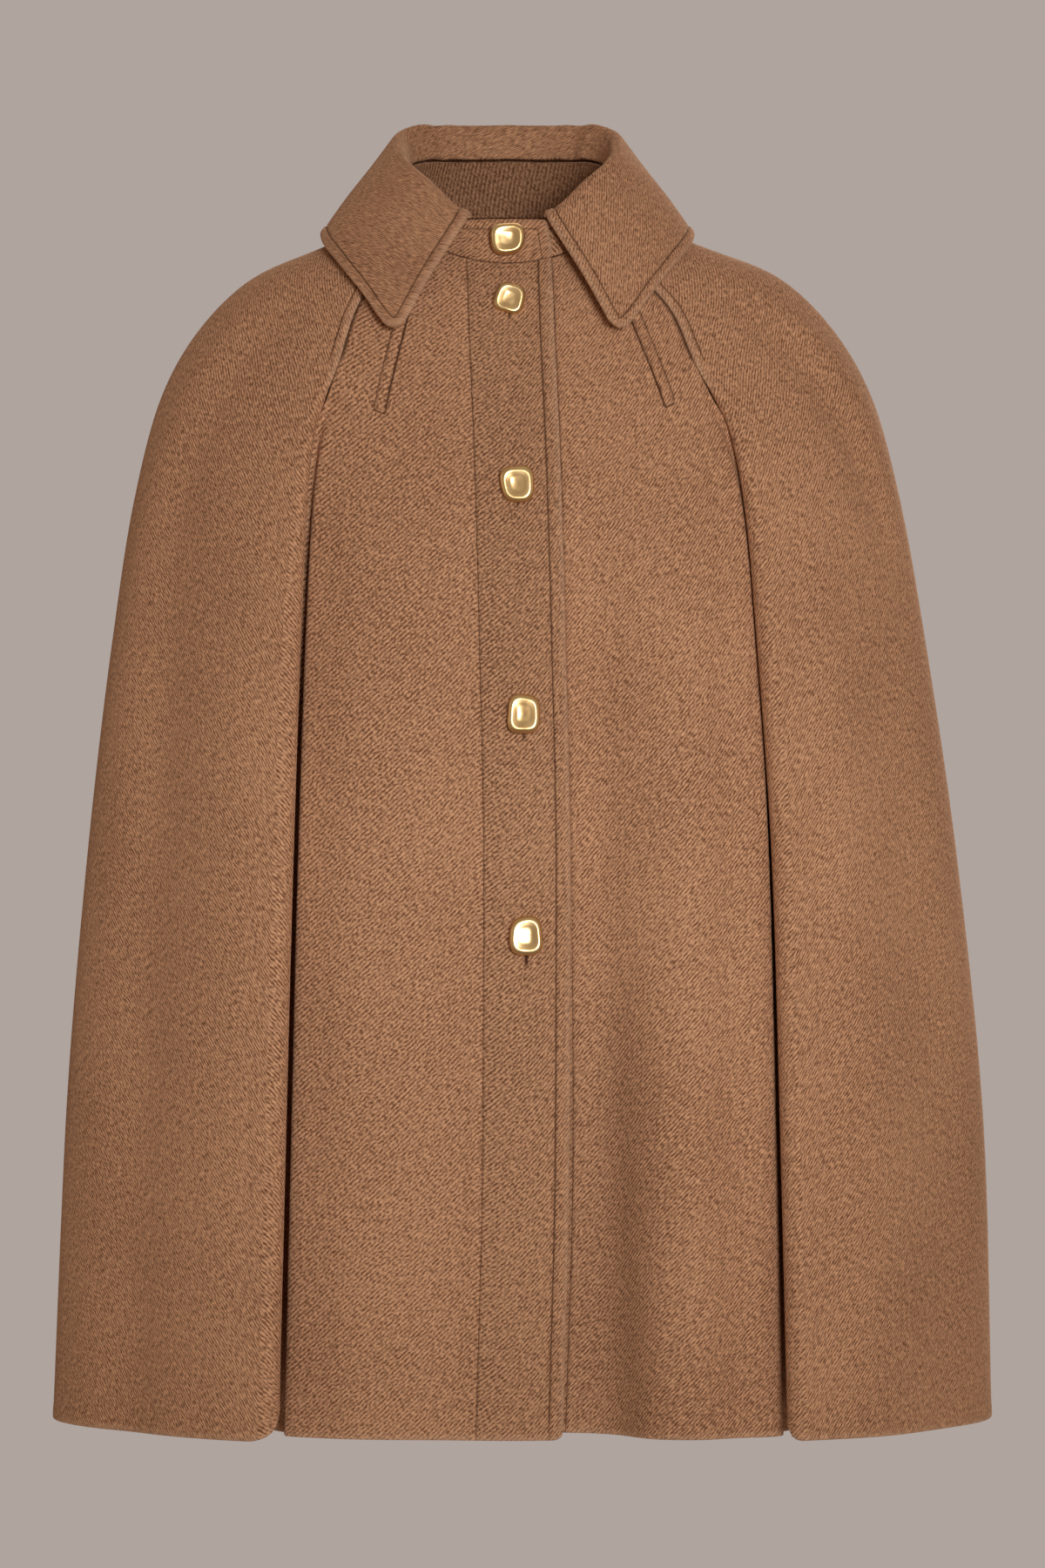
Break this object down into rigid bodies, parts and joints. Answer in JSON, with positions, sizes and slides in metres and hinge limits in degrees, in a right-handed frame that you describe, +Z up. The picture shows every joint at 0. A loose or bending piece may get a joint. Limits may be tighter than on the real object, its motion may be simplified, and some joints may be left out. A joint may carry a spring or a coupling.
{
  "type": "wool cape",
  "caption": "Hip-length wool cape in its worn, hollow form, with turned-down collar, lapped buttoned front, deep side folds and arm slits.",
  "frame": {"origin": "middle of the neck opening at shoulder height, where a wearer holds the cape up", "axes": "+Z up, the front with its buttons faces -Y, the wearer's left is +X"},
  "size_m": [0.5873, 0.3147, 0.8212],
  "materials": {
    "wool_cloth": "camel-brown twill-woven wool coating with a short soft nap",
    "gold_metal": "polished cast metal with a gold plating"
  },
  "bodies": {
    "root": {"right_front": "wool_cloth", "left_front": "wool_cloth", "right_side": "wool_cloth", "left_side": "wool_cloth", "back": "wool_cloth", "right_placket": "wool_cloth", "left_placket": "wool_cloth", "collar_stand": "wool_cloth", "collar_leaf": "wool_cloth", "button_1": "gold_metal", "button_2": "gold_metal", "button_3": "gold_metal", "button_4": "gold_metal", "button_5": "gold_metal"}
  },
  "joints": []
}
